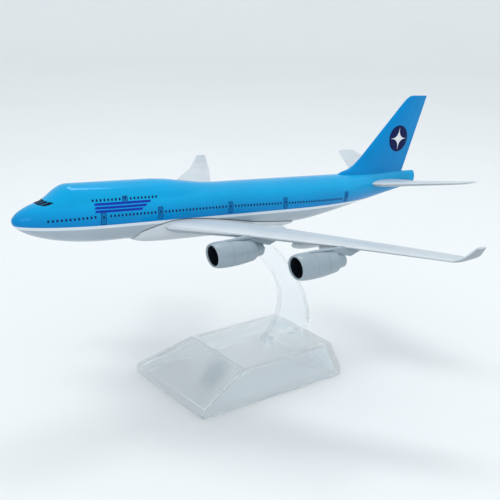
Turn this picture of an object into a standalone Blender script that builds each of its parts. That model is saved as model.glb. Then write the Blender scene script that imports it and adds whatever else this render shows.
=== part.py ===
"""Desktop airliner model on a clear two-piece stand.

A four-engine double-deck airliner, about 160 mm long, is two castings: the fuselage with its fin,
and the wings with the belly, which two screws pull up into the fuselage. Engine cowls, fans and
cores, and the two tailplane halves, are separate small castings. The airliner is set on the tang
of a clear curved arm, and the arm's two pegs stand in slots in a clear hollow base.

Sizes are in millimetres and are turned into metres where a mesh is made. The airliner is drawn
in its own axes, +X aft from the nose tip, +Y to starboard and +Z up, under one tilted empty.
"""
import math

import bmesh
import bpy
from mathutils import Matrix

MM = 0.001
GAP = 0.3                      # left open between two pieces that touch
ROUND = 28                     # points round a fuselage ring

# Placing, in the object's own frame
PITCH = math.radians(4.86)     # the airliner sits nose up
NOSE_AT = (-81.3, 0.0, 67.4)
BASE_X = -3.7                  # middle of the base

# Stand
BASE_LENGTH, BASE_WIDTH, BASE_HEIGHT = 57.3, 42.8, 10.4
SKIRT = 2.9                    # upright part of the base's sides
FRONT_RUN = 19.5               # length of the base's long front slope, seen from above
SIDE_INSET = 5.3
WALL = 1.5
ARM_THICKNESS = 3.0
PEG_LENGTH, PEG_DEPTH = 3.2, 3.2
PEG_XS = (8.6, 21.4)           # middles of the arm's two pegs
TANG_LENGTH, TANG_HEIGHT = 8.0, 6.0
SOCKET_AT = 79.8               # the stand socket, along the airliner

# Fuselage
LENGTH = 157.7                 # nose tip to the flat end of the tail cone
NOSE_RUN, NOSE_POWER = 29.0, 0.55
RADIUS, AXIS_Z = 7.8, 0.5      # the main lobe
CROWN = 10.5                   # top of the upper deck
LOBE_SHARE = 0.756             # upper lobe radius over main lobe radius
CROWN_RISE = (8.0, 16.5)
CROWN_FALL = (43.0, 68.0)
TAIL_FROM, TAIL_SLOPE, TAIL_BLEND = 102.7, 0.19, 7.0
TAIL_NARROWING = 0.5
NARROW_FROM = 116.0
RINGS = (0.05, 0.5, 1.4, 2.8, 4.8, 7, 9, 11, 13, 15, 17.5, 22, 28, 36, 43, 50, 57, 63, 69, 80, 94,
         102, 108, 115, 125, 136, 147, LENGTH)
HOLLOW = (40.0, 96.0, 5.0, 4.5)   # from, to, half width, ceiling of the space over the belly
CUT_DEPTH = -14.0              # cutters that come up from below start here
BOSS_FOOT = -7.0               # the screw bosses reach down into the belly's seat

# Fin: height, leading edge, trailing edge, thickness
FIN = ((6.9, 118.0, 150.9, 3.0), (8.9, 120.6, 151.6, 2.8), (9.8, 124.0, 151.9, 2.7),
       (11.4, 127.0, 152.4, 2.6), (14.0, 129.9, 153.2, 2.45), (33.2, 148.0, 159.1, 1.5),
       (35.4, 150.8, 159.8, 1.3), (36.2, 152.8, 160.05, 1.1))

# Wing: out from the middle, leading edge x, z, trailing edge x, z, thickness
WING = ((0.0, 45.1, -2.9, 79.0, -4.7, 4.2), (8.0, 45.1, -2.9, 79.0, -4.7, 4.2),
        (18.0, 54.4, -2.6, 82.6, -3.8, 3.1), (29.0, 64.7, -2.25, 86.5, -3.0, 2.2),
        (50.0, 84.2, -2.0, 99.5, -2.45, 1.5), (66.0, 99.1, -2.25, 109.6, -2.25, 1.1),
        (70.3, 103.1, -2.35, 112.1, -2.35, 1.0), (72.2, 105.2, -1.0, 112.5, -1.0, 0.9),
        (74.1, 108.3, 2.3, 112.3, 2.3, 0.7))
TRAILING_EDGE = 0.12           # half the thickness of a trailing edge
# Flap fairings: out from the middle, middle x, middle z, half length, half width, half depth
FLAP_FAIRINGS = ((15.5, 78.0, -4.7, 7.5, 1.0, 1.5), (33.5, 82.5, -4.3, 9.0, 1.0, 1.65),
                 (39.5, 87.0, -3.9, 8.0, 0.9, 1.4))

# Belly of the wing casting: x, top, bottom
BELLY = ((37.0, -6.0, -7.4), (37.9, -4.2, -7.8), (40.4, -3.2, -8.3), (43.0, -2.3, -8.5),
         (47.0, -1.3, -8.7), (52.0, -0.95, -8.75), (58.0, -1.25, -8.75), (66.0, -2.2, -8.7),
         (73.0, -3.25, -8.7), (79.0, -4.3, -8.65), (88.0, -5.2, -8.4), (94.0, -5.7, -8.0),
         (98.5, -6.4, -7.4))
BELLY_PROUD = 0.25
BELLY_SQUARENESS = 2.5

# Tailplane half: out from the middle, leading edge x, z, trailing edge x, z, thickness
TAIL_ROOT = (133.6, 4.8, 154.8, 4.8, 2.2)
TAILPLANE = ((GAP, *TAIL_ROOT), (4.6, *TAIL_ROOT),
             (31.0, 147.4, 10.0, 155.8, 10.0, 1.0), (32.2, 148.9, 10.3, 156.0, 10.3, 0.7))

# Engines: intake lip x, out from the middle, z
ENGINES = {"inboard": (50.0, 26.6, -7.2), "outboard": (64.4, 47.3, -6.5)}
COWL_LENGTH, COWL_RADIUS, BORE_RADIUS = 14.3, 4.0, 2.95
CORE_END = 19.0
ENGINE_RISE = math.radians(1.5)    # an engine's axis rises this much towards its rear
PYLON_END = 27.5
PYLON_WIDTH = 1.2

# Screws up through the belly into the fuselage's bosses
SCREW_XS = (62.0, 91.0)
SCREW_RADIUS, HEAD_RADIUS, HEAD_HEIGHT = 0.85, 1.7, 1.1
SCREW_TOP = 1.6
SCREW_HEAD_Z = -8.5            # underside of the heads
SCREW_STEPS = 20
BOSS_RADIUS = 2.6


def ramp(x, start, end):
    """Smooth step from 0 at start to 1 at end."""
    t = min(max((x - start) / (end - start), 0.0), 1.0)
    return t * t * (3.0 - 2.0 * t)


def between(x, table, column):
    """Straight-line reading of a column of a table whose first column is x."""
    for low, high in zip(table, table[1:]):
        if x <= high[0]:
            t = (x - low[0]) / (high[0] - low[0])
            return low[column] + t * (high[column] - low[column])
    return table[-1][column]


def main_lobe(x):
    """Half width, half height and middle height of the fuselage's main lobe at x."""
    past = x - TAIL_FROM
    lift = TAIL_SLOPE * 0.5 * (past + math.hypot(past, TAIL_BLEND))
    half = RADIUS - lift / 2.0
    nose = (1.0 - (1.0 - min(x / NOSE_RUN, 1.0)) ** 2) ** NOSE_POWER
    narrow = 1.0 - TAIL_NARROWING * ramp(x, NARROW_FROM, LENGTH)
    return half * nose * narrow, half * nose, AXIS_Z + lift / 2.0


def fuselage_ring(x):
    """Ring of points: along each ray the farther of the main lobe and the upper lobe."""
    width, height, middle = main_lobe(x)
    rise = ramp(x, *CROWN_RISE) * (1.0 - ramp(x, *CROWN_FALL))
    top = (middle + height) * (1.0 - rise) + CROWN * rise
    lobe = LOBE_SHARE * height
    lobe_up = top - lobe - middle
    ring = []
    for step in range(ROUND):
        angle = 2.0 * math.pi * step / ROUND
        side, up = math.sin(angle), math.cos(angle)
        main = 1.0 / math.hypot(side / width, up / height)
        upper = lobe_up * up + math.sqrt(max(lobe ** 2 - (lobe_up * side) ** 2, 0.0))
        reach = max(main, upper) if rise > 0.0 else main
        ring.append((x, reach * side, middle + reach * up))
    return ring


def half_section(s, thickness):
    """Half the thickness of an aerofoil at the share s of its chord."""
    shape = 2.969 * math.sqrt(s) - 1.26 * s - 3.516 * s ** 2 + 2.843 * s ** 3 - 1.036 * s ** 4
    return 0.5 * thickness * shape + TRAILING_EDGE * s


def aerofoil(lead, trail, thickness, half_points=7):
    """Closed section as (along, off chord) pairs, from the trailing edge over the top and back."""
    top = []
    for step in range(half_points + 1):
        s = 0.5 * (1.0 + math.cos(math.pi * step / half_points))
        top.append((lead + s * (trail - lead), half_section(s, thickness)))
    return top + [(x, -z) for x, z in reversed(top[1:-1])] + [(top[0][0], -top[0][1])]


def clear_scene():
    for item in list(bpy.data.objects):
        bpy.data.objects.remove(item, do_unlink=True)


def collection(name):
    made = bpy.data.collections.new(name)
    bpy.context.scene.collection.children.link(made)
    return made


def finish_material(name, colour, roughness, metallic=0.0, alpha=1.0):
    made = bpy.data.materials.new(name)
    made.use_nodes = True
    shader = made.node_tree.nodes["Principled BSDF"]
    shader.inputs["Base Color"].default_value = (*colour, 1.0)
    shader.inputs["Roughness"].default_value = roughness
    shader.inputs["Metallic"].default_value = metallic
    shader.inputs["Alpha"].default_value = alpha
    return made


def add_object(name, mesh, place, parent=None, finish=None):
    made = bpy.data.objects.new(name, mesh)
    place.objects.link(made)
    made.parent = parent
    if finish:
        mesh.materials.append(finish)
    mesh.shade_smooth()
    mesh.set_sharp_from_angle(angle=math.radians(35.0))
    return made


def as_guide(item):
    """A shape that only cuts or joins another is drawn as wire and left out of the object."""
    item.hide_render = True
    item.display_type = "WIRE"
    return item


def loft_mesh(name, rings):
    """Closed skin through rings of equal count, with a flat face over each end."""
    shape = bmesh.new()
    rows = [[shape.verts.new([c * MM for c in point]) for point in ring] for ring in rings]
    count = len(rings[0])
    for row, following in zip(rows, rows[1:]):
        for step in range(count):
            after = (step + 1) % count
            shape.faces.new((row[step], row[after], following[after], following[step]))
    shape.faces.new(list(reversed(rows[0])))
    shape.faces.new(rows[-1])
    bmesh.ops.recalc_face_normals(shape, faces=shape.faces)
    mesh = bpy.data.meshes.new(name)
    shape.to_mesh(mesh)
    shape.free()
    return mesh


def plate_mesh(name, points, thickness):
    """A flat outline in X and Z, made solid by extruding its filled curve along Y.

    A point is (x, z), or (x, z, "smooth") where the outline bends gently through it.
    """
    curve = bpy.data.curves.new(name, "CURVE")
    curve.dimensions = "2D"
    curve.fill_mode = "BOTH"
    curve.extrude = thickness * MM / 2.0
    curve.resolution_u = 5
    spline = curve.splines.new("BEZIER")
    spline.bezier_points.add(len(points) - 1)
    for knot, point in zip(spline.bezier_points, points):
        knot.co = (point[0] * MM, point[1] * MM, 0.0)
        kind = "AUTO" if len(point) > 2 else "VECTOR"
        knot.handle_left_type = kind
        knot.handle_right_type = kind
    spline.use_cyclic_u = True
    holder = bpy.data.objects.new(name, curve)
    bpy.context.scene.collection.objects.link(holder)
    graph = bpy.context.evaluated_depsgraph_get()
    mesh = bpy.data.meshes.new_from_object(holder.evaluated_get(graph))
    bpy.data.objects.remove(holder, do_unlink=True)
    mesh.transform(Matrix.Rotation(math.pi / 2.0, 4, "X"))
    shape = bmesh.new()
    shape.from_mesh(mesh)
    bmesh.ops.remove_doubles(shape, verts=shape.verts, dist=0.000002)
    bmesh.ops.recalc_face_normals(shape, faces=shape.faces)
    shape.to_mesh(mesh)
    shape.free()
    return mesh


def hull_mesh(name, corners):
    """The tight skin round a few corner points."""
    shape = bmesh.new()
    points = [shape.verts.new([c * MM for c in corner]) for corner in corners]
    bmesh.ops.convex_hull(shape, input=points)
    bmesh.ops.dissolve_limit(shape, angle_limit=0.01, verts=shape.verts, edges=shape.edges)
    bmesh.ops.recalc_face_normals(shape, faces=shape.faces)
    mesh = bpy.data.meshes.new(name)
    shape.to_mesh(mesh)
    shape.free()
    return mesh


def box_mesh(name, low, high):
    shape = bmesh.new()
    bmesh.ops.create_cube(shape, size=1.0)
    for vert in shape.verts:
        for axis in range(3):
            vert.co[axis] = MM * (low[axis] + (vert.co[axis] + 0.5) * (high[axis] - low[axis]))
    mesh = bpy.data.meshes.new(name)
    shape.to_mesh(mesh)
    shape.free()
    return mesh


def turned_mesh(name, profile):
    """A profile of (radius, height) pairs, top to bottom on its outer side, to turn about Z."""
    mesh = bpy.data.meshes.new(name)
    points = [(radius * MM, 0.0, height * MM) for radius, height in profile]
    closed = profile[0][0] > 0.0
    ends = [(len(points) - 1, 0)] if closed else []
    mesh.from_pydata(points, [(i, i + 1) for i in range(len(points) - 1)] + ends, [])
    return mesh


def add_turned(name, profile, place, parent=None, finish=None, steps=24):
    made = add_object(name, turned_mesh(name, profile), place, parent, finish)
    screw = made.modifiers.new("turn", "SCREW")
    screw.axis = "Z"
    screw.steps = steps
    screw.render_steps = steps
    screw.use_merge_vertices = True
    screw.merge_threshold = 0.000002
    screw.use_smooth_shade = True
    return made


def add_boolean(item, other, operation):
    step = item.modifiers.new(operation.lower(), "BOOLEAN")
    step.operation = operation
    step.object = other
    return step


def base_corners(length, width, low, skirt, height, front, inset):
    """Corner points of the base's outline: an upright skirt, then sloping front and sides."""
    half, side = length / 2.0, width / 2.0
    points = []
    for y in (-1.0, 1.0):
        for x in (-half, half):
            points += [(BASE_X + x, y * side, low), (BASE_X + x, y * side, skirt)]
        points += [(BASE_X - half + front, y * (side - inset), height),
                   (BASE_X + half, y * (side - inset), height)]
    return points


def build_base(parts, cutters, clear):
    outer = base_corners(BASE_LENGTH, BASE_WIDTH, 0.0, SKIRT, BASE_HEIGHT, FRONT_RUN, SIDE_INSET)
    base = add_object("stand_base", hull_mesh("stand_base", outer), parts, finish=clear)
    bevel = base.modifiers.new("soft edges", "BEVEL")
    bevel.width = 0.35 * MM
    bevel.segments = 2
    bevel.limit_method = "ANGLE"
    bevel.angle_limit = math.radians(12.0)
    inner = base_corners(BASE_LENGTH - 2.0 * WALL, BASE_WIDTH - 2.0 * WALL, -1.0, SKIRT - 0.7,
                         BASE_HEIGHT - WALL, FRONT_RUN - 1.2, SIDE_INSET - 0.9)
    hollow = as_guide(add_object("base_hollow", hull_mesh("base_hollow", inner), cutters))
    add_boolean(base, hollow, "DIFFERENCE")
    for number, x in enumerate(PEG_XS):
        half = PEG_LENGTH / 2.0 + GAP
        side = ARM_THICKNESS / 2.0 + GAP
        slot = box_mesh("peg_slot", (x - half, -side, 0.0), (x + half, side, BASE_HEIGHT + 1.0))
        add_boolean(base, as_guide(add_object(f"peg_slot_{number}", slot, cutters)), "DIFFERENCE")


def to_world(x, z):
    """A point of the airliner's middle plane, in the object's frame."""
    return (NOSE_AT[0] + x * math.cos(PITCH) + z * math.sin(PITCH),
            NOSE_AT[2] - x * math.sin(PITCH) + z * math.cos(PITCH))


def build_arm(parts, clear):
    """Clear plate: a broad foot with two pegs, a stem that leans forward, a tang in the socket."""
    foot = BASE_HEIGHT + GAP
    belly = between(SOCKET_AT, BELLY, 2)
    half = TANG_LENGTH / 2.0
    shoulder = belly - GAP - 0.1
    pegs = []
    for x in PEG_XS:
        start, end = x - PEG_LENGTH / 2.0, x + PEG_LENGTH / 2.0
        pegs += [(start, foot), (start, foot - WALL - PEG_DEPTH + GAP),
                 (end, foot - WALL - PEG_DEPTH + GAP), (end, foot)]
    rear = [(26.4, foot), (26.9, 14.5, "smooth"), (25.2, 22.0, "smooth"),
            (21.2, 30.5, "smooth"), (16.0, 38.0, "smooth"), (10.6, 44.0, "smooth")]
    front = [(-1.2, 46.2, "smooth"), (6.0, 40.0, "smooth"), (11.4, 33.0, "smooth"),
             (13.6, 26.0, "smooth"), (13.2, 20.0, "smooth"), (10.8, 14.6, "smooth")]
    tang = [to_world(SOCKET_AT + half + 0.8, shoulder), to_world(SOCKET_AT + half, shoulder),
            to_world(SOCKET_AT + half, belly + TANG_HEIGHT),
            to_world(SOCKET_AT - half, belly + TANG_HEIGHT),
            to_world(SOCKET_AT - half, shoulder), to_world(SOCKET_AT - half - 1.6, shoulder)]
    outline = [(6.6, foot)] + pegs + rear + tang + front
    add_object("stand_arm", plate_mesh("stand_arm", outline, ARM_THICKNESS), parts, finish=clear)


def belly_side(x, z):
    """Half width of the fuselage at a height, which the belly matches and stands a little proud."""
    width, height, middle = main_lobe(x)
    return width * math.sqrt(max(1.0 - ((z - middle) / height) ** 2, 0.05)) + BELLY_PROUD


def belly_ring(x, top, bottom, steps=14):
    """Flat top and a squarish lower half."""
    ring = []
    side = belly_side(x, top)
    for step in range(steps + 1):
        angle = math.pi * step / steps
        across = math.copysign(abs(math.cos(angle)) ** (2.0 / BELLY_SQUARENESS), math.cos(angle))
        down = math.sin(angle) ** (2.0 / BELLY_SQUARENESS)
        ring.append((x, side * across, top - (top - bottom) * down))
    return ring


def screw_bore(name, x, parent, cutters):
    """Clearance for a screw's shank, with a wider seat for its head."""
    head = SCREW_HEAD_Z + HEAD_HEIGHT
    wide, slim = HEAD_RADIUS + GAP, SCREW_RADIUS + GAP
    profile = [(0.0, SCREW_TOP + GAP), (slim, SCREW_TOP + GAP), (slim, head + GAP),
               (wide, head + GAP), (wide, CUT_DEPTH), (0.0, CUT_DEPTH)]
    bore = as_guide(add_turned(name, profile, cutters, parent, steps=SCREW_STEPS))
    bore.location = (x * MM, 0.0, 0.0)
    return bore


def build_fuselage(parts, cutters, axes, blue):
    skin = loft_mesh("fuselage_casting", [fuselage_ring(x) for x in RINGS])
    fuselage = add_object("fuselage_casting", skin, parts, axes, blue)
    fin_rings = [[(x, y, height) for x, y in aerofoil(lead, trail, thickness)]
                 for height, lead, trail, thickness in FIN]
    fin = as_guide(add_object("fin_shape", loft_mesh("fin_shape", fin_rings), cutters, axes))
    add_boolean(fuselage, fin, "UNION")
    seat = [(x, top + GAP) for x, top, _ in BELLY]
    seat = [(BELLY[0][0] - GAP, BELLY[0][1] + 0.1)] + seat + [(BELLY[-1][0] + GAP, seat[-1][1])]
    seat += [(BELLY[-1][0] + GAP, CUT_DEPTH), (BELLY[0][0] - GAP, CUT_DEPTH)]
    start, end, half, ceiling = HOLLOW
    space = box_mesh("belly_space", (start, -half, CUT_DEPTH), (end, half, ceiling))
    add_boolean(fuselage, as_guide(add_object(space.name, space, cutters, axes)), "DIFFERENCE")
    for number, x in enumerate(SCREW_XS):
        post = [(0.0, ceiling + 1.0), (BOSS_RADIUS, ceiling + 1.0), (BOSS_RADIUS, BOSS_FOOT),
                (0.0, BOSS_FOOT)]
        boss = as_guide(add_turned(f"boss_{number}", post, cutters, axes, steps=SCREW_STEPS))
        boss.location = (x * MM, 0.0, 0.0)
        add_boolean(fuselage, boss, "UNION")
    lead, height, trail, _, thickness = TAIL_ROOT
    root = [(x, z + height) for x, z in aerofoil(lead - GAP, trail + GAP, thickness + 2.0 * GAP)]
    for cut in (plate_mesh("belly_seat", seat, 24.0), plate_mesh("tailplane_slot", root, 14.0)):
        add_boolean(fuselage, as_guide(add_object(cut.name, cut, cutters, axes)), "DIFFERENCE")
    for number, x in enumerate(SCREW_XS):
        add_boolean(fuselage, screw_bore(f"boss_bore_{number}", x, axes, cutters), "DIFFERENCE")


def wing_rings(side):
    rings = []
    for index, (out, lead, lead_z, trail, trail_z, thickness) in enumerate(WING):
        ring = []
        for x, off in aerofoil(lead, trail, thickness):
            share = (x - lead) / (trail - lead)
            cant = 0.75 if index >= len(WING) - 2 else 0.0
            ring.append((x, side * (out - off * cant),
                         lead_z + share * (trail_z - lead_z) + off * (1.0 - 0.4 * cant)))
        rings.append(ring)
    return rings


def build_wings(parts, cutters, axes, white):
    belly = loft_mesh("wing_casting", [belly_ring(*row) for row in BELLY])
    wings = add_object("wing_casting", belly, parts, axes, white)
    for side, word in ((-1.0, "left"), (1.0, "right")):
        shape = loft_mesh(f"wing_{word}", wing_rings(side))
        add_boolean(wings, as_guide(add_object(shape.name, shape, cutters, axes)), "UNION")
        for number, (out, middle, low, reach, broad, deep) in enumerate(FLAP_FAIRINGS):
            rings = []
            for step in range(9):
                share = -1.0 + 2.0 * (step + 0.15) / 8.3
                size = math.sqrt(max(1.0 - share ** 2, 0.02))
                rings.append([(middle + share * reach, side * out + broad * size * math.sin(a),
                               low + deep * size * math.cos(a))
                              for a in (math.pi * turn / 4.0 for turn in range(8))])
            fairing = loft_mesh(f"flap_fairing_{word}_{number}", rings)
            add_boolean(wings, as_guide(add_object(fairing.name, fairing, cutters, axes)), "UNION")
    half, side = TANG_LENGTH / 2.0 + GAP, ARM_THICKNESS / 2.0 + GAP
    socket = box_mesh("stand_socket", (SOCKET_AT - half, -side, CUT_DEPTH),
                      (SOCKET_AT + half, side, 2.0))
    add_boolean(wings, as_guide(add_object("stand_socket", socket, cutters, axes)), "DIFFERENCE")
    for number, x in enumerate(SCREW_XS):
        add_boolean(wings, screw_bore(f"belly_bore_{number}", x, axes, cutters), "DIFFERENCE")


def build_tailplanes(parts, axes, white):
    for side, word in ((-1.0, "left"), (1.0, "right")):
        rings = []
        for out, lead, lead_z, trail, trail_z, thickness in TAILPLANE:
            rings.append([(x, side * out, lead_z + off) for x, off in
                          aerofoil(lead, trail, thickness)])
        name = f"tailplane_{word}"
        add_object(name, loft_mesh(name, rings), parts, axes, white)


def wing_underside(out, x):
    """Height of the wing's lower surface."""
    lead, lead_z, trail, trail_z, thickness = (between(out, WING, column) for column in range(1, 6))
    s = (x - lead) / (trail - lead)
    return lead_z + s * (trail_z - lead_z) - half_section(s, thickness)


def pylon_outline(out, lip_x, lip_z):
    """Side view: from the cowl's top up to the leading edge, under the wing, down to the core."""
    lead, lead_z = between(out, WING, 1), between(out, WING, 2)
    top = lip_z + COWL_RADIUS
    end = lip_x + PYLON_END
    clear = GAP + 0.1
    under = [(x, wing_underside(out, x) - clear)
             for x in (lead + 0.1, lead + 0.6, lead + 2.0, lead + 5.0, end)]
    return [(lip_x + 3.0, top - 0.8), (lip_x + 3.2, top + 0.1), (lip_x + 9.0, top + 0.35),
            (lead - clear, lead_z + 0.4), (lead - clear, lead_z - 0.25)] + under + [
            (lip_x + CORE_END + 1.5, lip_z + 1.4), (lip_x + CORE_END, lip_z + 1.9),
            (lip_x + CORE_END - 1.5, lip_z + 2.6), (lip_x + 14.8, lip_z + 3.3),
            (lip_x + 12.5, lip_z + 3.5)]


def build_engines(parts, cutters, axes, grey, black):
    lip, bore = COWL_RADIUS, BORE_RADIUS
    cowl_profile = [(bore + 0.35, 0.0), (lip - 0.55, 0.0), (lip - 0.2, 0.5), (lip, 2.5),
                    (lip, 6.5), (lip - 0.2, 11.0), (lip - 0.75, COWL_LENGTH),
                    (bore - 0.15, COWL_LENGTH), (bore, 9.0), (bore, 1.0)]
    fan_profile = [(0.0, 2.6), (0.5, 2.9), (0.9, 3.9), (bore - GAP, 4.1), (bore - GAP, 5.3),
                   (0.0, 5.3)]
    core_profile = [(0.0, 5.6), (bore - GAP - 0.2, 5.6), (bore - GAP - 0.2, 14.4), (2.35, 15.0),
                    (1.95, 17.8), (1.5, 17.8), (0.9, 18.2), (0.3, CORE_END), (0.0, CORE_END)]
    for place, (lip_x, out, lip_z) in ENGINES.items():
        for side, word in ((-1.0, "left"), (1.0, "right")):
            label = f"{place}_{word}"
            pieces = []
            for piece, profile, finish in (("engine_cowl", cowl_profile, grey),
                                           ("engine_fan", fan_profile, black),
                                           ("engine_core", core_profile, grey)):
                # heights grow aft, so the profile is turned head down: its Z points forward
                turned = [(radius, -height) for radius, height in profile]
                item = add_turned(f"{piece}_{label}", turned, parts, axes, finish)
                item.rotation_euler = (0.0, -math.pi / 2.0 - ENGINE_RISE, 0.0)
                item.location = (lip_x * MM, side * out * MM, lip_z * MM)
                pieces.append(item)
            outline = plate_mesh(f"pylon_{label}", pylon_outline(out, lip_x, lip_z), PYLON_WIDTH)
            pylon = as_guide(add_object(f"pylon_{label}", outline, cutters, axes))
            pylon.location = (0.0, side * out * MM, 0.0)
            add_boolean(pieces[0], pylon, "UNION")
            room = [(0.0, -9.5), (bore - 0.19, -9.5), (bore - 0.19, -14.8), (2.25, -18.1),
                    (1.2, -18.5), (0.62, -19.3), (0.0, -19.3)]
            clearance = as_guide(add_turned(f"core_room_{label}", room, cutters, axes))
            clearance.rotation_euler = pieces[0].rotation_euler
            clearance.location = pieces[0].location
            add_boolean(pieces[0], clearance, "DIFFERENCE")


def build_screws(parts, cutters, axes, steel):
    for number, (x, word) in enumerate(zip(SCREW_XS, ("front", "rear"))):
        head = SCREW_HEAD_Z + HEAD_HEIGHT
        profile = [(0.0, SCREW_TOP), (SCREW_RADIUS - 0.25, SCREW_TOP), (SCREW_RADIUS, SCREW_TOP - 0.4),
                   (SCREW_RADIUS, head), (HEAD_RADIUS, head), (HEAD_RADIUS, SCREW_HEAD_Z + 0.35),
                   (HEAD_RADIUS - 0.4, SCREW_HEAD_Z), (0.0, SCREW_HEAD_Z)]
        screw = add_turned(f"belly_screw_{word}", profile, parts, axes, steel, steps=SCREW_STEPS)
        screw.location = (x * MM, 0.0, 0.0)
        for turn, (long, short) in enumerate(((1.05, 0.22), (0.22, 1.05))):
            low = SCREW_HEAD_Z - 0.5
            slot = box_mesh("drive_slot", (-long, -short, low), (long, short, SCREW_HEAD_Z + 0.6))
            guide = as_guide(add_object(f"drive_slot_{word}_{turn}", slot, cutters, axes))
            guide.location = screw.location
            add_boolean(screw, guide, "DIFFERENCE")


def main():
    clear_scene()
    parts = collection("desktop_airliner")
    cutters = collection("cutters")
    blue = finish_material("sky_blue_paint", (0.02, 0.36, 0.78), 0.22)
    white = finish_material("pale_grey_paint", (0.78, 0.80, 0.83), 0.35)
    grey = finish_material("engine_grey_paint", (0.55, 0.58, 0.62), 0.4)
    black = finish_material("black_plastic", (0.01, 0.01, 0.012), 0.5)
    steel = finish_material("zinc_plated_steel", (0.55, 0.55, 0.56), 0.3, metallic=1.0)
    clear = finish_material("clear_plastic", (0.93, 0.94, 0.98), 0.06, alpha=0.35)
    axes = bpy.data.objects.new("airliner_axes", None)
    axes.location = [c * MM for c in NOSE_AT]
    axes.rotation_euler = (0.0, PITCH, 0.0)
    bpy.context.scene.collection.objects.link(axes)
    build_base(parts, cutters, clear)
    build_arm(parts, clear)
    build_fuselage(parts, cutters, axes, blue)
    build_wings(parts, cutters, axes, white)
    build_tailplanes(parts, axes, white)
    build_engines(parts, cutters, axes, grey, black)
    build_screws(parts, cutters, axes, steel)


main()
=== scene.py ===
"""Looks of a desktop airliner model on its clear stand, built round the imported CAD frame.

Shapes are worked out in millimetres and turned into metres where a mesh is made. The airliner is
drawn in its own axes, x aft from the nose tip, y to starboard and z up, and is then tipped nose
up and moved to its place over the stand. Stand pieces are drawn in the object's own frame.
"""

import math
import types

import bmesh
import bpy
import numpy as np
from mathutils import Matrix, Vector


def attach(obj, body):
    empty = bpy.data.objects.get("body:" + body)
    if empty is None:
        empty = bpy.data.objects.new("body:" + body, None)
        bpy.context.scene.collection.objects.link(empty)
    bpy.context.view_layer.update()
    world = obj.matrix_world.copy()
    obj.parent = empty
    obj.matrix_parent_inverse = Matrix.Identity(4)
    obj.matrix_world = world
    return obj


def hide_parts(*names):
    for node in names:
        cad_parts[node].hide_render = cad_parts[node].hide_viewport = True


bl_info = {
    "name": "Desktop Airliner",
    "version": (1, 0, 0),
    "blender": (4, 5, 0),
    "location": "View3D > Sidebar > Airliner",
    "description": "Builds a die-cast airliner on a clear stand, piece by piece",
    "category": "Add Mesh",
}

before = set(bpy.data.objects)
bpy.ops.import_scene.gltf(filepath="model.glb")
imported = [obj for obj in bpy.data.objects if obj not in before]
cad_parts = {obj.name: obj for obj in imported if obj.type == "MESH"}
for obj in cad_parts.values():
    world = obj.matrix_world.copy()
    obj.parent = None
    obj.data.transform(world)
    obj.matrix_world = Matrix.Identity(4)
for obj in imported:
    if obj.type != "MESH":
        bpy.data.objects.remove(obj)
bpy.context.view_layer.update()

MM = 0.001
PITCH = math.radians(4.86)         # the airliner sits nose up
NOSE_AT = (-81.3, 0.0, 67.4)
SIDES = {"left": -1.0, "right": 1.0}

# Fuselage, in the airliner's axes
LENGTH = 157.7
NOSE_RUN, NOSE_POWER = 29.0, 0.55
RADIUS, AXIS_Z, CROWN = 7.8, 0.5, 10.5
LOBE_SHARE, LOBE_SOFTNESS = 0.756, 0.2
CROWN_RISE, CROWN_FALL = (8.0, 16.5), (43.0, 68.0)
TAIL_FROM, TAIL_SLOPE, TAIL_BLEND = 102.7, 0.19, 7.0
TAIL_NARROWING = 0.5
SEAM_GAP = 0.3

# Belly of the wing casting: x, top, bottom
BELLY = np.array([
    (37.0, -6.0, -7.4), (37.9, -4.2, -7.8), (40.4, -3.2, -8.3), (43.0, -2.3, -8.5),
    (47.0, -1.3, -8.7), (52.0, -0.95, -8.75), (58.0, -1.25, -8.75), (66.0, -2.2, -8.7),
    (73.0, -3.25, -8.7), (79.0, -4.3, -8.65), (88.0, -5.2, -8.4), (94.0, -5.7, -8.0),
    (98.5, -6.4, -7.4)])

# Wing: out from the middle, leading edge x, z, trailing edge x, z, thickness
WING = np.array([
    (3.0, 45.1, -2.9, 79.0, -4.7, 4.2), (8.0, 45.1, -2.9, 79.0, -4.7, 4.2),
    (18.0, 54.4, -2.6, 82.6, -3.8, 3.1), (29.0, 64.7, -2.25, 86.5, -3.0, 2.2),
    (50.0, 84.2, -2.0, 99.5, -2.45, 1.5), (66.0, 99.1, -2.25, 109.6, -2.25, 1.1),
    (70.3, 103.1, -2.35, 112.1, -2.35, 1.0), (72.2, 105.2, -1.0, 112.5, -1.0, 0.9),
    (74.0, 108.2, 2.1, 112.3, 2.1, 0.7)])
# Flap fairings: out from the middle, middle x, middle z, half length, half width, half depth
FLAP_FAIRINGS = ((15.5, 78.0, -4.7, 7.5, 1.0, 1.5), (33.5, 82.5, -4.3, 9.0, 1.0, 1.65),
                 (39.5, 87.0, -3.9, 8.0, 0.9, 1.4))

# Tailplane half: out from the middle, leading edge x, z, trailing edge x, z, thickness
TAILPLANE = np.array([
    (0.3, 133.4, 4.8, 154.6, 4.8, 2.2), (4.6, 133.6, 4.8, 154.8, 4.8, 2.2),
    (31.0, 147.4, 10.0, 155.8, 10.0, 1.0), (31.9, 148.4, 10.2, 155.9, 10.2, 0.8),
    (32.2, 149.6, 10.3, 156.0, 10.3, 0.5)])

# Fin: height, leading edge, trailing edge, thickness
FIN = np.array([
    (6.0, 116.0, 151.0, 3.0), (8.9, 120.6, 151.6, 2.8), (9.8, 124.0, 151.9, 2.7),
    (11.4, 127.0, 152.4, 2.6), (14.0, 129.9, 153.2, 2.45), (33.2, 148.0, 159.1, 1.5),
    (35.0, 149.9, 159.6, 1.3), (35.9, 151.4, 159.9, 1.1), (36.2, 152.8, 160.0, 0.7)])

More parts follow.
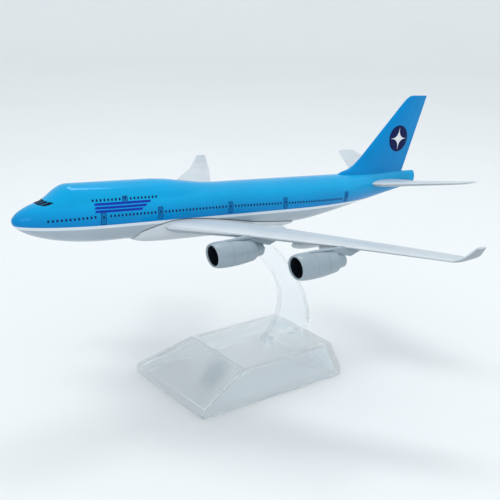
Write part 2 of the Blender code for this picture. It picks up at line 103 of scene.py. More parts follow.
# Engines: intake lip x, out from the middle, z
ENGINES = {"inboard": (50.0, 26.6, -7.2), "outboard": (64.4, 47.3, -6.5)}
ENGINE_RISE = math.radians(1.5)    # an engine's axis rises this much towards its rear
SCREW_XS = (62.0, 91.0)
SOCKET_AT = 79.8
PEG_XS = (8.6, 21.4)

# Doors: x, z, half height; the last one is on the upper deck
DOORS = np.array([(24.6, 1.35, 1.9), (43.4, 1.7, 1.9), (69.0, 1.6, 1.9), (91.1, 1.5, 1.9),
                  (119.4, 1.55, 1.9), (32.2, 6.2, 0.95)])
DOOR_HALF, DOOR_EDGE = 0.92, 0.14  # half width, and the outline's width
PANE_ANGLES = ((1.0, 11.0), (12.5, 22.5), (24.0, 33.0))    # degrees round the nose, from the top
PANE_LOW, PANE_HIGH = 5.3, 6.3
PANE_DROP = 0.3                    # a pane's edges are this much lower at 30 degrees
EMBLEM_AT = (147.0, 20.6)
FILM_EDGE, EMBLEM_EDGE = -0.06, -0.05    # a print's edge dips this far under the skin

# Widths of sunk lines: along the chord as a share of it, across the span and on cowls in mm
CHORD_LINE, SPAN_LINE, COWL_LINE = 0.008, 0.16, 0.18
COWL_LINES = (5.3, 10.1)
WING_SUNK, TAIL_SUNK, COWL_SUNK = 0.07, 0.06, 0.09    # depths of those lines

BELLY_PROUD = 0.25                 # the belly stands this far out of the fuselage's side
CUT_FROM = -12.0                   # cutters that come up from below start here
SOCKET_HALF, SOCKET_SIDE, SOCKET_TOP = 4.3, 1.8, -2.0
SEAT_RADIUS, SEAT_TOP = 2.0, -7.1  # the hollows for the screw heads
AXIS_RADIUS = 0.001                # stands for none, where a profile meets its axis

BLUE_SHEEN = (0.05, 0.55, 1.0)     # colour of the blue paint's own reflections


# ---------------------------------------------------------------- number helpers

def ramp(x, start, end):
    """Smooth step from 0 at start to 1 at end: 3t^2 - 2t^3 of the clamped share t."""
    t = np.clip((x - start) / (end - start), 0.0, 1.0)
    return t * t * (3.0 - 2.0 * t)


def read(table, column, x):
    """Straight-line reading of one column of a table whose first column is x."""
    return np.interp(x, table[:, 0], table[:, column])


def xyz(x, y, z):
    """Points from three coordinates, each spread over the others' shapes."""
    return np.stack(np.broadcast_arrays(x, y, z), axis=-1)


def circle(count):
    """Even angles once round."""
    return np.linspace(0.0, 2.0 * math.pi, count, endpoint=False)


def squarish(value, power):
    """A value's size raised to a power, with its sign kept."""
    return np.sign(value) * np.abs(value) ** power


def averaged(values, passes):
    """Inner values shared out with their neighbours as 1 : 2 : 1, a few times over."""
    for _ in range(passes):
        values[1:-1] = 0.25 * values[:-2] + 0.5 * values[1:-1] + 0.25 * values[2:]
    return values


def refined(rows, at):
    """Rows of a table read at other values of its first column."""
    return np.stack([np.interp(at, rows[:, 0], column) for column in rows.T], axis=1)


def softened(rows, per_row, passes):
    """Rows read at even steps between the given ones, then averaged with their neighbours."""
    at = np.linspace(0.0, len(rows) - 1.0, (len(rows) - 1) * per_row + 1)
    dense = np.stack([np.interp(at, np.arange(len(rows)), column) for column in rows.T], axis=1)
    return averaged(dense, passes)


def through(rows, per_row):
    """Catmull-Rom curve through the rows: a cubic between each two, sloped by their neighbours."""
    rows = np.asarray(rows, float)
    ends = np.concatenate([2.0 * rows[:1] - rows[1:2], rows, 2.0 * rows[-1:] - rows[-2:-1]])
    at = np.linspace(0.0, len(rows) - 1.0, (len(rows) - 1) * per_row + 1)
    start = np.minimum(at.astype(int), len(rows) - 2)
    t = (at - start)[:, None]
    a, b, c, d = (ends[start + step] for step in range(4))
    return 0.5 * (2.0 * b + (c - a) * t + (2.0 * a - 5.0 * b + 4.0 * c - d) * t ** 2
                  + (3.0 * b - a - 3.0 * c + d) * t ** 3)


def rounded(rows, cut):
    """A bent line of rows with each corner cut back and bridged by a parabola of a few points."""
    rows = np.asarray(rows, float)
    before, corner, after = rows[:-2], rows[1:-1], rows[2:]
    back, ahead = before - corner, after - corner
    reach = np.linalg.norm(back, axis=1, keepdims=True)
    span = np.linalg.norm(ahead, axis=1, keepdims=True)
    from_point = corner + back * np.minimum(cut / reach, 0.45)
    to_point = corner + ahead * np.minimum(cut / span, 0.45)
    t = np.linspace(0.0, 1.0, 5)[None, :, None]
    bend = ((1.0 - t) ** 2 * from_point[:, None] + 2.0 * t * (1.0 - t) * corner[:, None]
            + t ** 2 * to_point[:, None])
    return np.concatenate([rows[:1], bend.reshape(-1, rows.shape[1]), rows[-1:]])


def with_lines(even, marks, width):
    """Even steps with three more at each mark, where a groove of that width is sunk."""
    extra = [mark + width * side for mark in marks for side in (-0.5, 0.0, 0.5)]
    return np.unique(np.round(np.concatenate([even, extra]), 5))


def groove(x, marks, width):
    """1 on a mark, falling straight to 0 half a width away."""
    nearest = np.min([np.abs(x - mark) for mark in marks], axis=0)
    return np.clip(1.0 - nearest / (0.5 * width), 0.0, 1.0)


# ---------------------------------------------------------------- meshes

def in_place(points):
    """Points in the airliner's axes as points in the object's frame: turned nose up, then moved."""
    x, y, z = points[..., 0], points[..., 1], points[..., 2]
    return xyz(NOSE_AT[0] + x * math.cos(PITCH) + z * math.sin(PITCH), y,
               NOSE_AT[2] - x * math.sin(PITCH) + z * math.cos(PITCH))


def grid_quads(rows, columns, wrap):
    """Corners of the four-sided faces between the points of a grid, row by row."""
    i = np.arange(rows - 1)[:, None] * columns
    j = np.arange(columns if wrap else columns - 1)[None, :]
    k = (j + 1) % columns
    quads = np.stack([i + j, i + k, i + columns + k, i + columns + j], axis=-1)
    return quads.reshape(-1, 4)


def surface_mesh(name, grids, wrap, tilted, sharp, closed=True):
    """One mesh from grids of points: doubles merged, open rings filled, faces turned outwards."""
    points, faces, start = [], [], 0
    for grid in grids:
        grid = grid if grid.ndim == 4 else grid[None]
        count, rows, columns, _ = grid.shape
        offsets = start + np.arange(count) * rows * columns
        faces.append((grid_quads(rows, columns, wrap)[None] + offsets[:, None, None]).reshape(-1, 4))
        points.append(grid.reshape(-1, 3))
        start += count * rows * columns
    points, faces = np.concatenate(points), np.concatenate(faces)
    points = MM * (in_place(points) if tilted else points)
    mesh = bpy.data.meshes.new(name)
    mesh.vertices.add(len(points))
    mesh.vertices.foreach_set("co", points.astype(np.float32).ravel())
    mesh.loops.add(faces.size)
    mesh.loops.foreach_set("vertex_index", faces.astype(np.int32).ravel())
    mesh.polygons.add(len(faces))
    mesh.polygons.foreach_set("loop_start", np.arange(0, faces.size, 4, dtype=np.int32))
    mesh.update(calc_edges=True)
    shape = bmesh.new()
    shape.from_mesh(mesh)
    bmesh.ops.remove_doubles(shape, verts=shape.verts, dist=2e-6)
    bmesh.ops.dissolve_degenerate(shape, edges=shape.edges, dist=1e-7)
    if closed:
        bmesh.ops.holes_fill(shape, edges=[e for e in shape.edges if e.is_boundary], sides=0)
    bmesh.ops.recalc_face_normals(shape, faces=shape.faces)
    shape.to_mesh(mesh)
    shape.free()
    mesh.shade_smooth()
    mesh.set_sharp_from_angle(angle=math.radians(sharp))
    return mesh


def put(name, data):
    """A new object in the scene."""
    thing = bpy.data.objects.new(name, data)
    bpy.context.scene.collection.objects.link(thing)
    return thing


def add_piece(name, grids, look, stands_for=None, body="airliner", wrap=True, sharp=32.0):
    """Makes one piece in its finish, sets it on its body and hides the node it stands for."""
    mesh = surface_mesh(name, grids, wrap, body == "airliner", sharp)
    mesh.materials.append(finish(look))
    piece = put(name, mesh)
    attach(piece, body)
    if stands_for:
        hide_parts(stands_for)
    return piece


def carve(piece, grids, operation, tilted):
    """Joins closed shapes to a piece or cuts them from it, exactly, and keeps the result."""
    tools = []
    for number, grid in enumerate(grids):
        name = f"tool_{number}"
        tool = put(name, surface_mesh(name, [grid], True, tilted, 30.0))
        step = piece.modifiers.new(tool.name, "BOOLEAN")
        step.solver = "EXACT"
        step.operation = operation
        step.object = tool
        tools.append(tool)
    graph = bpy.context.evaluated_depsgraph_get()
    result = bpy.data.meshes.new_from_object(piece.evaluated_get(graph))
    if not result.polygons:
        raise RuntimeError(f"{piece.name} has nothing left after carving")
    piece.modifiers.clear()
    piece.data = result
    piece.data.shade_smooth()
    piece.data.set_sharp_from_angle(angle=math.radians(32.0))
    for tool in tools:
        bpy.data.objects.remove(tool, do_unlink=True)


def shade_lower_skin(piece):
    """Gives a thin piece's lower skin, the faces that look mostly down, a darker grey as painted shade.
    """
    piece.data.materials.append(finish("underside paint"))
    count = len(piece.data.polygons)
    normals = np.zeros(3 * count, np.float32)
    piece.data.polygons.foreach_get("normal", normals)
    looks_down = normals.reshape(-1, 3)[:, 2] < -0.2
    piece.data.polygons.foreach_set("material_index", looks_down.astype(np.int32))


def even_normals(piece):
    """Keeps large flat faces flat where they meet small rounded edges."""
    step = piece.modifiers.new("even normals", "WEIGHTED_NORMAL")
    step.keep_sharp = True
    step.weight = 60


def turned(profile, count):
    """A profile of (x, radius) rows carried round the x axis: y = r sin a, z = r cos a."""
    x, radius = np.asarray(profile, float).T[:, :, None]
    a = circle(count)
    return xyz(x, radius * np.sin(a), radius * np.cos(a))


def rounded_ring(half_x, half_y, radius, per_side):
    """Points round a rounded rectangle, closer together near its corners.

    A point goes round the sharp rectangle; what lies outside the rectangle of the corners'
    centres is pulled to the corner's radius. Half sizes may be arrays, one ring each.
    """
    half_x, half_y = np.atleast_1d(half_x)[:, None], np.atleast_1d(half_y)[:, None]
    t = np.linspace(-1.0, 1.0, per_side, endpoint=False)
    t = 1.5 * t - 0.5 * t ** 3
    one = np.ones_like(t)
    across, along = np.concatenate([t, one, -t, -one]), np.concatenate([-one, t, one, -t])
    x, y = half_x * across, half_y * along
    core_x = np.clip(x, radius - half_x, half_x - radius)
    core_y = np.clip(y, radius - half_y, half_y - radius)
    off = np.maximum(np.hypot(x - core_x, y - core_y), 1e-9)
    return core_x + radius * (x - core_x) / off, core_y + radius * (y - core_y) / off


def rod(start, end, radius):
    """A straight round rod: a circle across its line at each end, and a smaller one just past it."""
    along = (end - start) / np.linalg.norm(end - start)
    across = np.cross(along, (0.0, 0.0, 1.0))
    across /= np.linalg.norm(across)
    a = circle(12)[:, None]
    ring = radius * (np.cos(a) * across + np.sin(a) * np.cross(along, across))
    past = 0.7 * radius * along
    return np.stack([start - past + 0.5 * ring, start + ring, end + ring, end + past + 0.5 * ring])


def box_grid(low, high):
    """A closed box: two rings of four corners."""
    (x0, y0, z0), (x1, y1, z1) = low, high
    ring = [(x0, y0), (x1, y0), (x1, y1), (x0, y1)]
    return np.array([[(x, y, z) for x, y in ring] for z in (z0, z1)])


# ---------------------------------------------------------------- the airliner's surfaces

def lobes(x):
    """Widths and heights of the fuselage's two lobes at x.

    The main lobe is an ellipse that grows from the nose by a power of a parabola, keeps its
    radius, and is raised and shrunk along a hyperbola towards the tail. The upper lobe is a
    smaller circle whose top follows the crown line.
    """
    past = x - TAIL_FROM
    lift = 0.5 * TAIL_SLOPE * (past + np.hypot(past, TAIL_BLEND))
    nose = (1.0 - (1.0 - np.clip(x / NOSE_RUN, 0.0, 1.0)) ** 2) ** NOSE_POWER
    height = (RADIUS - lift / 2.0) * nose
    width = height * (1.0 - TAIL_NARROWING * ramp(x, 116.0, LENGTH))
    middle = AXIS_Z + lift / 2.0
    rise = ramp(x, *CROWN_RISE) * (1.0 - ramp(x, *CROWN_FALL))
    top = (middle + height) * (1.0 - rise) + CROWN * rise
    lobe = LOBE_SHARE * height
    return width, height, middle, lobe, top - lobe - middle, rise


def skin(x, angle):
    """A point of the fuselage: the farther of its two lobes along a ray, softened where they meet."""
    width, height, middle, lobe, lobe_up, rise = lobes(x)
    side, up = np.sin(angle), np.cos(angle)
    main = 1.0 / np.hypot(side / np.maximum(width, 1e-6), up / np.maximum(height, 1e-6))
    upper = lobe_up * up + np.sqrt(np.maximum(lobe ** 2 - (lobe_up * side) ** 2, 0.0))
    soft = LOBE_SOFTNESS * rise
    both = 0.5 * (main + upper + np.hypot(main - upper, soft))
    reach = np.where(rise > 0.0, np.maximum(both, main), main)
    return xyz(x, reach * side, middle + reach * up)


def half_width(x, z):
    """How far out the fuselage's side is at a height: the wider of the two lobes, softened alike."""
    width, height, middle, lobe, lobe_up, rise = lobes(x)
    main = width * np.sqrt(np.clip(1.0 - ((z - middle) / height) ** 2, 0.0, 1.0))
    upper = np.sqrt(np.clip(lobe ** 2 - (z - middle - lobe_up) ** 2, 0.0, None))
    both = 0.5 * (main + upper + np.hypot(main - upper, 1.2 * LOBE_SOFTNESS * rise))
    return np.where(upper > 0.0, both, main)


def section(s, thickness, edge=0.12):
    """Half the thickness of an aerofoil at the share s of its chord: a root, then a quartic."""
    shape = 2.969 * np.sqrt(s) - 1.26 * s - 3.516 * s ** 2 + 2.843 * s ** 3 - 1.036 * s ** 4
    return 0.5 * thickness * shape + edge * s


def round_chord(marks):
    """Shares of the chord from the trailing edge over the top to the lip and back under."""
    even = 0.5 * (1.0 - np.cos(np.linspace(0.0, math.pi, 26)))
    s = with_lines(even, marks, CHORD_LINE)
    s = s[(s >= 0.0) & (s <= 1.0)]
    return np.concatenate([s[::-1], s[1:]]), np.concatenate([np.ones(len(s)), -np.ones(len(s) - 1)])


def panel(rows, chord_marks, span_marks, depth, side):
    """A wing-like skin from rows of (out, lead x, lead z, trail x, trail z, thickness).

    A point at the share s of the chord stands off the chord by the aerofoil's half thickness,
    less the depth of a groove where the row or the share is marked. Off the chord is across the
    direction the rows run in, so the skin turns up with a winglet.
    """
    out, lead, lead_z, trail, trail_z, thickness = rows.T[:, :, None]
    s, over = round_chord(chord_marks)
    turn = np.arctan2(np.gradient(rows[:, 2]), np.gradient(rows[:, 0]))[:, None]
    off = section(s, thickness)
    inside = (s > 0.02) & (s < 0.98)
    sunk = np.maximum(groove(s, chord_marks, CHORD_LINE)[None] * inside,
                      groove(out, span_marks, SPAN_LINE) * ((s > chord_marks[-1]) & inside)[None])
    off = over * (off - np.minimum(depth * sunk, 0.4 * off))
    x = lead + s * (trail - lead)
    z = lead_z + s * (trail_z - lead_z) + off * np.cos(turn)
    return xyz(x, side * (out - off * np.sin(turn)), z)


def patches(corners, place, proud, steps, round_off):
    """Thin closed films laid on a skin, one for each row of four corners.

    A corner is a pair (u, v) of the skin's own two numbers. A film is a square grid whose edge
    is rounded, spread between its corners; it stands proud in the middle and dips under the
    skin along its edge, and a second layer underneath closes it.
    """
    corners = np.asarray(corners, float)
    t = np.linspace(-1.0, 1.0, steps)
    t = np.concatenate([[-1.0], 0.93 * t, [1.0]]) if steps < 12 else t
    p, q = np.meshgrid(t, t, indexing="ij")
    core_p, core_q = (np.clip(c, round_off - 1.0, 1.0 - round_off) for c in (p, q))
    far = np.maximum(np.hypot(p - core_p, q - core_q), 1e-9)
    largest = np.maximum(np.abs(p - core_p), np.abs(q - core_q))
    p, q = core_p + (p - core_p) * largest / far, core_q + (q - core_q) * largest / far
    p, q = 0.5 + 0.5 * p, 0.5 + 0.5 * q
    a, b, c, d = (corners[:, k, None, None, :] for k in range(4))
    p, q = p[None, :, :, None], q[None, :, :, None]
    uv = (1 - p) * (1 - q) * a + p * (1 - q) * b + p * q * c + (1 - p) * q * d
    edge = np.zeros(uv.shape[1:3], bool)
    edge[[0, -1], :] = True
    edge[:, [0, -1]] = True
    u, v = uv[..., 0], uv[..., 1]
    return [place(u, v, np.where(edge, FILM_EDGE, proud)[None]),
            place(u, v, np.full(edge.shape, FILM_EDGE)[None])]


def box_corners(x, z, half_x, half_z, lean=0.0):
    """Four corners of an upright oblong, or of a leaning one, round each middle."""
    x, z = np.broadcast_arrays(np.asarray(x, float), np.asarray(z, float))
    signs = ((-1, -1), (1, -1), (1, 1), (-1, 1))
    return np.stack([np.stack([x + i * half_x + j * lean, z + j * half_z], axis=-1)
                     for i, j in signs], axis=1)


def on_side(side):
    """Place on one side of the fuselage, from the side view's x and z."""
    def place(x, z, proud):
        middle = lobes(x)[2]
        y = half_width(x, z)
        away = np.hypot(y, z - middle)
        return xyz(x, side * (y + proud * y / away), z + proud * (z - middle) / away)
    return place


def on_fin(side):
    """Place on one side of the fin, from the side view's x and z."""
    def place(x, z, proud):
        lead, trail, thickness = (read(FIN, column, z) for column in (1, 2, 3))
        s = np.clip((x - lead) / (trail - lead), 0.0, 1.0)
        return xyz(x, side * (section(s, thickness) + proud), z)
    return place


def on_nose(side):
    """Place on the nose at an angle from straight up and at a height, found along the skin."""
    samples = np.linspace(2.0, 18.0, 320)

    def place(angle, z, proud):
        turn = np.radians(angle)
        heights = skin(samples.reshape(-1, *([1] * angle.ndim)), turn[None])[..., 2]
        first = np.argmax(heights >= z[None], axis=0)
        low = np.take_along_axis(heights, first[None] - 1, axis=0)[0]
        high = np.take_along_axis(heights, first[None], axis=0)[0]
        x = samples[first - 1] + (samples[1] - samples[0]) * (z - low) / (high - low)
        at = skin(x, turn)
        at = at + proud[..., None] * xyz(-0.55, 0.83 * np.sin(turn), 0.83 * np.cos(turn))
        return at * np.array([1.0, side, 1.0])
    return place


# ---------------------------------------------------------------- finishes

def shade(colour, factor):
    return tuple(channel * factor for channel in colour)


class Look:
    """A material driven by noises in Object coordinates, read in millimetres."""

    def __init__(self, name, own_axes=True, squeeze=1.0):
        """The noises lie in the airliner's axes or the object's, and may be squeezed along z."""
        self.material = bpy.data.materials.new(name)
        self.material.use_nodes = True
        self.tree = self.material.node_tree
        self.shader = self.tree.nodes["Principled BSDF"]
        turn = self.add("ShaderNodeMapping", vector_type="TEXTURE")
        turn.inputs["Scale"].default_value = (MM, MM, MM / squeeze)
        if own_axes:
            turn.inputs["Location"].default_value = [c * MM for c in NOSE_AT]
            turn.inputs["Rotation"].default_value = (0.0, PITCH, 0.0)
        self.join(self.add("ShaderNodeTexCoord").outputs["Object"], turn.inputs["Vector"])
        self.at = turn.outputs["Vector"]

    def add(self, kind, **settings):
        node = self.tree.nodes.new(kind)
        for key, value in settings.items():
            setattr(node, key, value)
        return node

    def join(self, source, target):
        self.tree.links.new(source, target)

    def noise(self, scale, detail=3.0):
        node = self.add("ShaderNodeTexNoise")
        node.inputs["Scale"].default_value = scale
        node.inputs["Detail"].default_value = detail
        self.join(self.at, node.inputs["Vector"])
        return node.outputs["Fac"]

    def spread(self, value, low, high, start=0.3, end=0.7):
        """Reads a value between start and end as one between low and high."""
        node = self.add("ShaderNodeMapRange")
        for key, number in (("From Min", start), ("From Max", end), ("To Min", low), ("To Max", high)):
            node.inputs[key].default_value = number
        self.join(value, node.inputs["Value"])
        return node.outputs["Result"]

    def blend(self, share, first, second):
        """Mixes two colours, each a plain colour or another node's."""
        node = self.add("ShaderNodeMix", data_type="RGBA")
        self.join(share, node.inputs["Factor"])
        for key, colour in ((6, first), (7, second)):
            if isinstance(colour, bpy.types.NodeSocket):
                self.join(colour, node.inputs[key])
            else:
                node.inputs[key].default_value = (*colour, 1.0)
        return node.outputs[2]

    def tones(self, noise, colour, low, high):
        """A colour that drifts between two shades of itself."""
        return self.blend(self.spread(noise, 0.0, 1.0), shade(colour, low), shade(colour, high))

    def finished(self, colour, rough, bumps=None, **values):
        """Joins the colour, the roughness (noise, low, high) and the bumps (noise, strength,
        depth in mm), and sets the shader's other inputs."""
        self.join(colour, self.shader.inputs["Base Color"])
        self.join(self.spread(*rough), self.shader.inputs["Roughness"])
        if bumps:
            node = self.add("ShaderNodeBump")
            node.inputs["Strength"].default_value = bumps[1]
            node.inputs["Distance"].default_value = bumps[2] * MM
            self.join(bumps[0], node.inputs["Height"])
            self.join(node.outputs["Normal"], self.shader.inputs["Normal"])
        for key, value in values.items():
            self.shader.inputs[key.replace("_", " ")].default_value = value
        return self.material


def painted(name, colour, rough=(0.36, 0.46), coat=0.15, peel=0.05, specular=0.5, sheen=(1.0,) * 3):
    """Sprayed paint over a casting: slight tone drift, fine orange peel and a thin clear coat."""
    look = Look(name)
    return look.finished(look.tones(look.noise(0.09, 4.0), colour, 0.95, 1.05),
                         (look.noise(0.6), *rough), (look.noise(1.3, 2.0), peel, 0.02),
                         Coat_Weight=coat, Coat_Roughness=0.06, Specular_IOR_Level=specular,
                         Specular_Tint=(*sheen, 1.0))


def livery(name, colours):
    """Fuselage paint: blue over a white line over a grey belly, split by height, with fine peel; the
    blue carries painted shade, darker towards the line.
    """
    look = Look(name)
    parts = look.add("ShaderNodeSeparateXYZ")
    look.join(look.at, parts.inputs["Vector"])
    height = parts.outputs["Z"]
    drift = look.noise(0.07, 4.0)
    colour = look.tones(drift, colours.belly, 0.95, 1.04)
    # Painted shade: the blue darkens from 5.5 mm high down to -0.7 mm, next to the line
    blue = look.blend(look.spread(height, 0.0, 1.0, -0.7, 5.5),
                      look.tones(drift, colours.painted_shade_blue, 0.95, 1.05),
                      look.tones(drift, colours.blue, 0.95, 1.05))
    for low, high, upper in ((-1.66, -1.62, colours.stripe), (-0.72, -0.68, blue)):
        colour = look.blend(look.spread(height, 0.0, 1.0, low, high), colour, upper)
    return look.finished(colour, (look.noise(0.5), 0.14, 0.22), (look.noise(1.3, 2.0), 0.12, 0.02),
                         Coat_Weight=0.22, Coat_Roughness=0.04, Specular_IOR_Level=0.3,
                         Specular_Tint=(*BLUE_SHEEN, 1.0))


def clear_plastic(name, colour, see_through=0.5, highlight_whitening=0.0):
    """Moulded clear acrylic: part of the light goes straight through, the rest bends a little."""
    look = Look(name, False)
    # A whitening above zero clouds part of it pale; only the painted highlight rods use it
    return look.finished(look.tones(look.noise(0.05), colour, 0.985, 1.0),
                         (look.noise(0.25, 5.0), 0.015, 0.06), (look.noise(0.35), 0.1, 0.03),
                         Transmission_Weight=1.0 - highlight_whitening, IOR=1.3, Alpha=1.0 - see_through,
                         Coat_Weight=1.0, Coat_Roughness=0.03)


def ink(name, colour):
    """Pad-printed ink: a slightly uneven film."""
    look = Look(name)
    return look.finished(look.tones(look.noise(3.0), colour, 0.85, 1.15),
                         (look.noise(6.0), 0.34, 0.46), (look.noise(8.0), 0.15, 0.01),
                         Specular_IOR_Level=0.1)


def brushed_steel(name, colour):
    """Plated steel with turning marks round its axis."""
    look = Look(name, squeeze=12.0)
    marks = look.noise(3.0, 4.0)
    return look.finished(look.tones(marks, colour, 0.8, 1.1), (marks, 0.22, 0.4), (marks, 0.2, 0.02),
                         Metallic=1.0)


def soft_ground(name, colour):
    """Pale matt sheet with the faintest unevenness."""
    look = Look(name, False)
    return look.finished(look.tones(look.noise(0.01), colour, 0.985, 1.0), (look.noise(0.3), 0.5, 0.6))


# ---------------------------------------------------------------- settings

def length(name, description, default):
    return bpy.props.FloatProperty(name=name, description=description, default=default * MM,
                                   min=0.0, unit="LENGTH", precision=5)


def tint(name, description, default):
    return bpy.props.FloatVectorProperty(name=name, description=description, default=default,
                                         min=0.0, max=1.0, size=3, subtype="COLOR")


class StandSizes(bpy.types.PropertyGroup):
    base_length: length("Base length", "Length of the base at the table", 57.3)
    base_width: length("Base width", "Width of the base at the table", 42.8)
    base_height: length("Base height", "Height of the base's top", 10.4)
    base_middle: bpy.props.FloatProperty(name="Base middle", description="Middle of the base along X",
                                         default=-3.7 * MM, unit="LENGTH", precision=5)
    skirt: length("Skirt", "Upright part of the base's sides", 2.9)
    front_run: length("Front run", "Length of the base's front slope from above", 19.5)
    side_inset: length("Side inset", "How far the sides lean in", 5.3)
    wall: length("Wall", "Thickness of the base's wall", 1.5)
    arm_thickness: length("Arm thickness", "Thickness of the arm's plate", 3.0)
    peg_length: length("Peg length", "Length of each of the arm's two pegs", 3.2)


class EngineSizes(bpy.types.PropertyGroup):
    cowl_length: length("Cowl length", "From the intake's lip to the rear edge", 14.3)
    cowl_radius: length("Cowl radius", "Largest radius of a cowl", 4.0)
    bore_radius: length("Bore radius", "Radius inside the intake", 2.95)
    core_end: length("Core end", "From the lip to the end of the core nozzle", 19.0)
    scarf: bpy.props.FloatProperty(name="Scarf", description="How far the intake leans, top forward",
                                   default=math.radians(8.0), subtype="ANGLE")
    blades: bpy.props.IntProperty(name="Blades", description="Blades on a fan", default=22,
                                  min=8, max=40)


class CabinPrints(bpy.types.PropertyGroup):
    window_pitch: length("Window pitch", "From one window to the next", 1.22)
    window_width: length("Window width", "Width of a window's print", 0.6)
    window_height: length("Window height", "Height of a window's print", 0.8)
    emblem_radius: length("Emblem radius", "Radius of the plain disc on the fin", 4.9)


class Finishes(bpy.types.PropertyGroup):
    blue: tint("Sky blue", "Upper fuselage and fin", (0.0, 0.33, 0.64))
    fin: tint("Fin blue", "The fin, a little deeper than the fuselage", (0.002, 0.225, 0.55))
    # Painted shade: the darker blue that the fuselage's blue turns to low down
    painted_shade_blue: tint("Low blue", "The same blue where it darkens towards the line", (0.0, 0.19, 0.50))
    stripe: tint("Line", "Bright line under the blue", (0.66, 0.72, 0.77))
    belly: tint("Belly grey", "Lower fuselage", (0.37, 0.43, 0.48))
    wing: tint("Wing grey", "Wings and tailplanes", (0.54, 0.59, 0.63))
    # Painted shade: darker grey for the lower skin of the wings and tailplanes
    underside: tint("Underside grey", "Lower skin of the wings and tailplanes", (0.30, 0.35, 0.39))
    engine: tint("Engine grey", "Cowls and cores", (0.27, 0.34, 0.39))
    ink_blue: tint("Ink blue", "Windows, doors and marks", (0.001, 0.008, 0.07))
    clear: tint("Clear", "Stand", (0.87, 0.94, 0.975))
    ground: tint("Ground", "Floor and backdrop", (0.82, 0.835, 0.84))


GROUPS = {"airliner_stand": StandSizes, "airliner_engines": EngineSizes,
          "airliner_prints": CabinPrints, "airliner_finishes": Finishes}


def chosen(group):
    """What a property group is set to, with lengths in millimetres."""
    settings = getattr(bpy.context.scene, group)
    found = {}
    for key in type(settings).__annotations__:
        is_length = getattr(settings.bl_rna.properties[key], "unit", "NONE") == "LENGTH"
        found[key] = getattr(settings, key) / MM if is_length else getattr(settings, key)
    return types.SimpleNamespace(**found)


def finish(name):
    """A finish by name, made the first time it is asked for."""
    found = bpy.data.materials.get(name)
    if found:
        return found
    c = chosen("airliner_finishes")
    makers = {
        "fuselage paint": (livery, c),
        "fin paint": (painted, c.fin, (0.14, 0.22), 0.06, 0.12, 0.3, BLUE_SHEEN),
        "wing paint": (painted, c.wing),
        # Painted shade on the lower skins
        "underside paint": (painted, c.underside),
        "engine paint": (painted, c.engine, (0.3, 0.4), 0.25),
        # Painted shadow for the strips under the pylons
        "seam shadow": (painted, (0.10, 0.13, 0.16), (0.5, 0.6), 0.0, 0.05, 0.2),
        "fan plastic": (painted, (0.004, 0.007, 0.011), (0.45, 0.6), 0.0, 0.05, 0.2),
        "dark blue ink": (ink, c.ink_blue),
        "pane ink": (ink, (0.001, 0.003, 0.012)),
        "door ink": (ink, (0.0, 0.14, 0.38)),
        "bright blue ink": (ink, (0.004, 0.03, 0.36)),
        "white ink": (ink, (0.75, 0.78, 0.8)),
        # Painted highlight: pale, half cloudy acrylic for the rods on the base's edges
        "ridge acrylic": (clear_plastic, (0.97, 0.985, 1.0), 0.35, 0.5),
        "clear acrylic": (clear_plastic, c.clear),
        "screw steel": (brushed_steel, (0.55, 0.55, 0.56)),
        "ground": (soft_ground, c.ground),
    }
    maker, *settings = makers[name]
    return maker(name, *settings)


# ---------------------------------------------------------------- stand

class AIRLINER_OT_base(bpy.types.Operator):
    """Clear hollow base: rounded oblongs carried down its height, hollowed and slotted for pegs"""
    bl_idname = "airliner.base"
    bl_label = "Clear base"

    def shell(self, z, low, high, half_width, corner):
        """Rings of a rounded oblong, one for each height, end positions and half width."""
        x, y = rounded_ring((high - low) / 2.0, half_width, corner, 20)
        return xyz(x + ((high + low) / 2.0)[:, None], y, z[:, None])

    def profile(self, s, inset, low, top, skirt):
        """Rows (z, rear x, front x, half width) from the underside up to the top, corners rounded."""
        half, side = s.base_length / 2.0 - inset, s.base_width / 2.0 - inset
        middle = s.base_middle
        front = s.front_run - 0.8 * inset
        lean = s.side_inset - 0.6 * inset
        rows = [(low, middle - half, middle + half, side),
                (skirt, middle - half, middle + half, side),
                (top, middle - half + front, middle + half - 0.4, side - lean),
                (top, middle - half + front + 3.0, middle + half - 3.4, side - lean - 3.0)]
        return rounded(rows, 0.75)

    def execute(self, context):
        s = chosen("airliner_stand")
        outer = self.profile(s, 0.0, 0.0, s.base_height, s.skirt)
        outer = np.concatenate([[outer[0] + (0.0, 0.12, -0.12, -0.12)],
                                [outer[0] + (0.14, 0.0, 0.0, 0.0)], outer[1:]])
        inner = self.profile(s, s.wall, -1.0, s.base_height - s.wall, s.skirt - 0.7)
        base = add_piece("stand_base_shell", [self.shell(*outer.T, 0.5)], "clear acrylic",
                         "stand_base", "stand_base", sharp=40.0)
        half, side = s.peg_length / 2.0 + SEAM_GAP, s.arm_thickness / 2.0 + SEAM_GAP
        slots = [box_grid((x - half, -side, 0.0), (x + half, side, s.base_height + 1.0)) for x in PEG_XS]
        carve(base, [self.shell(*inner.T, 0.4), *slots], "DIFFERENCE", False)
        even_normals(base)
        self.highlight_rods(s)
        return {"FINISHED"}

    def highlight_rods(self, s):
        """Whitish rods along the front slope's sides and top edge: painted highlights on those rounded
        edges.
        """
        foot_x, wide = s.base_middle - s.base_length / 2.0, s.base_width / 2.0
        rods = []
        for side in SIDES.values():
            foot = np.array((foot_x + 0.6, side * (wide - 0.6), s.skirt + 0.1))
            head = np.array((foot_x + s.front_run, side * (wide - s.side_inset - 0.5),
                             s.base_height - 0.45))
            rods.append(rod(foot, head, 0.38))
        rods.append(rod(head * (1.0, -1.0, 1.0), head, 0.42))
        add_piece("base_painted_highlights", rods, "ridge acrylic", body="stand_base")


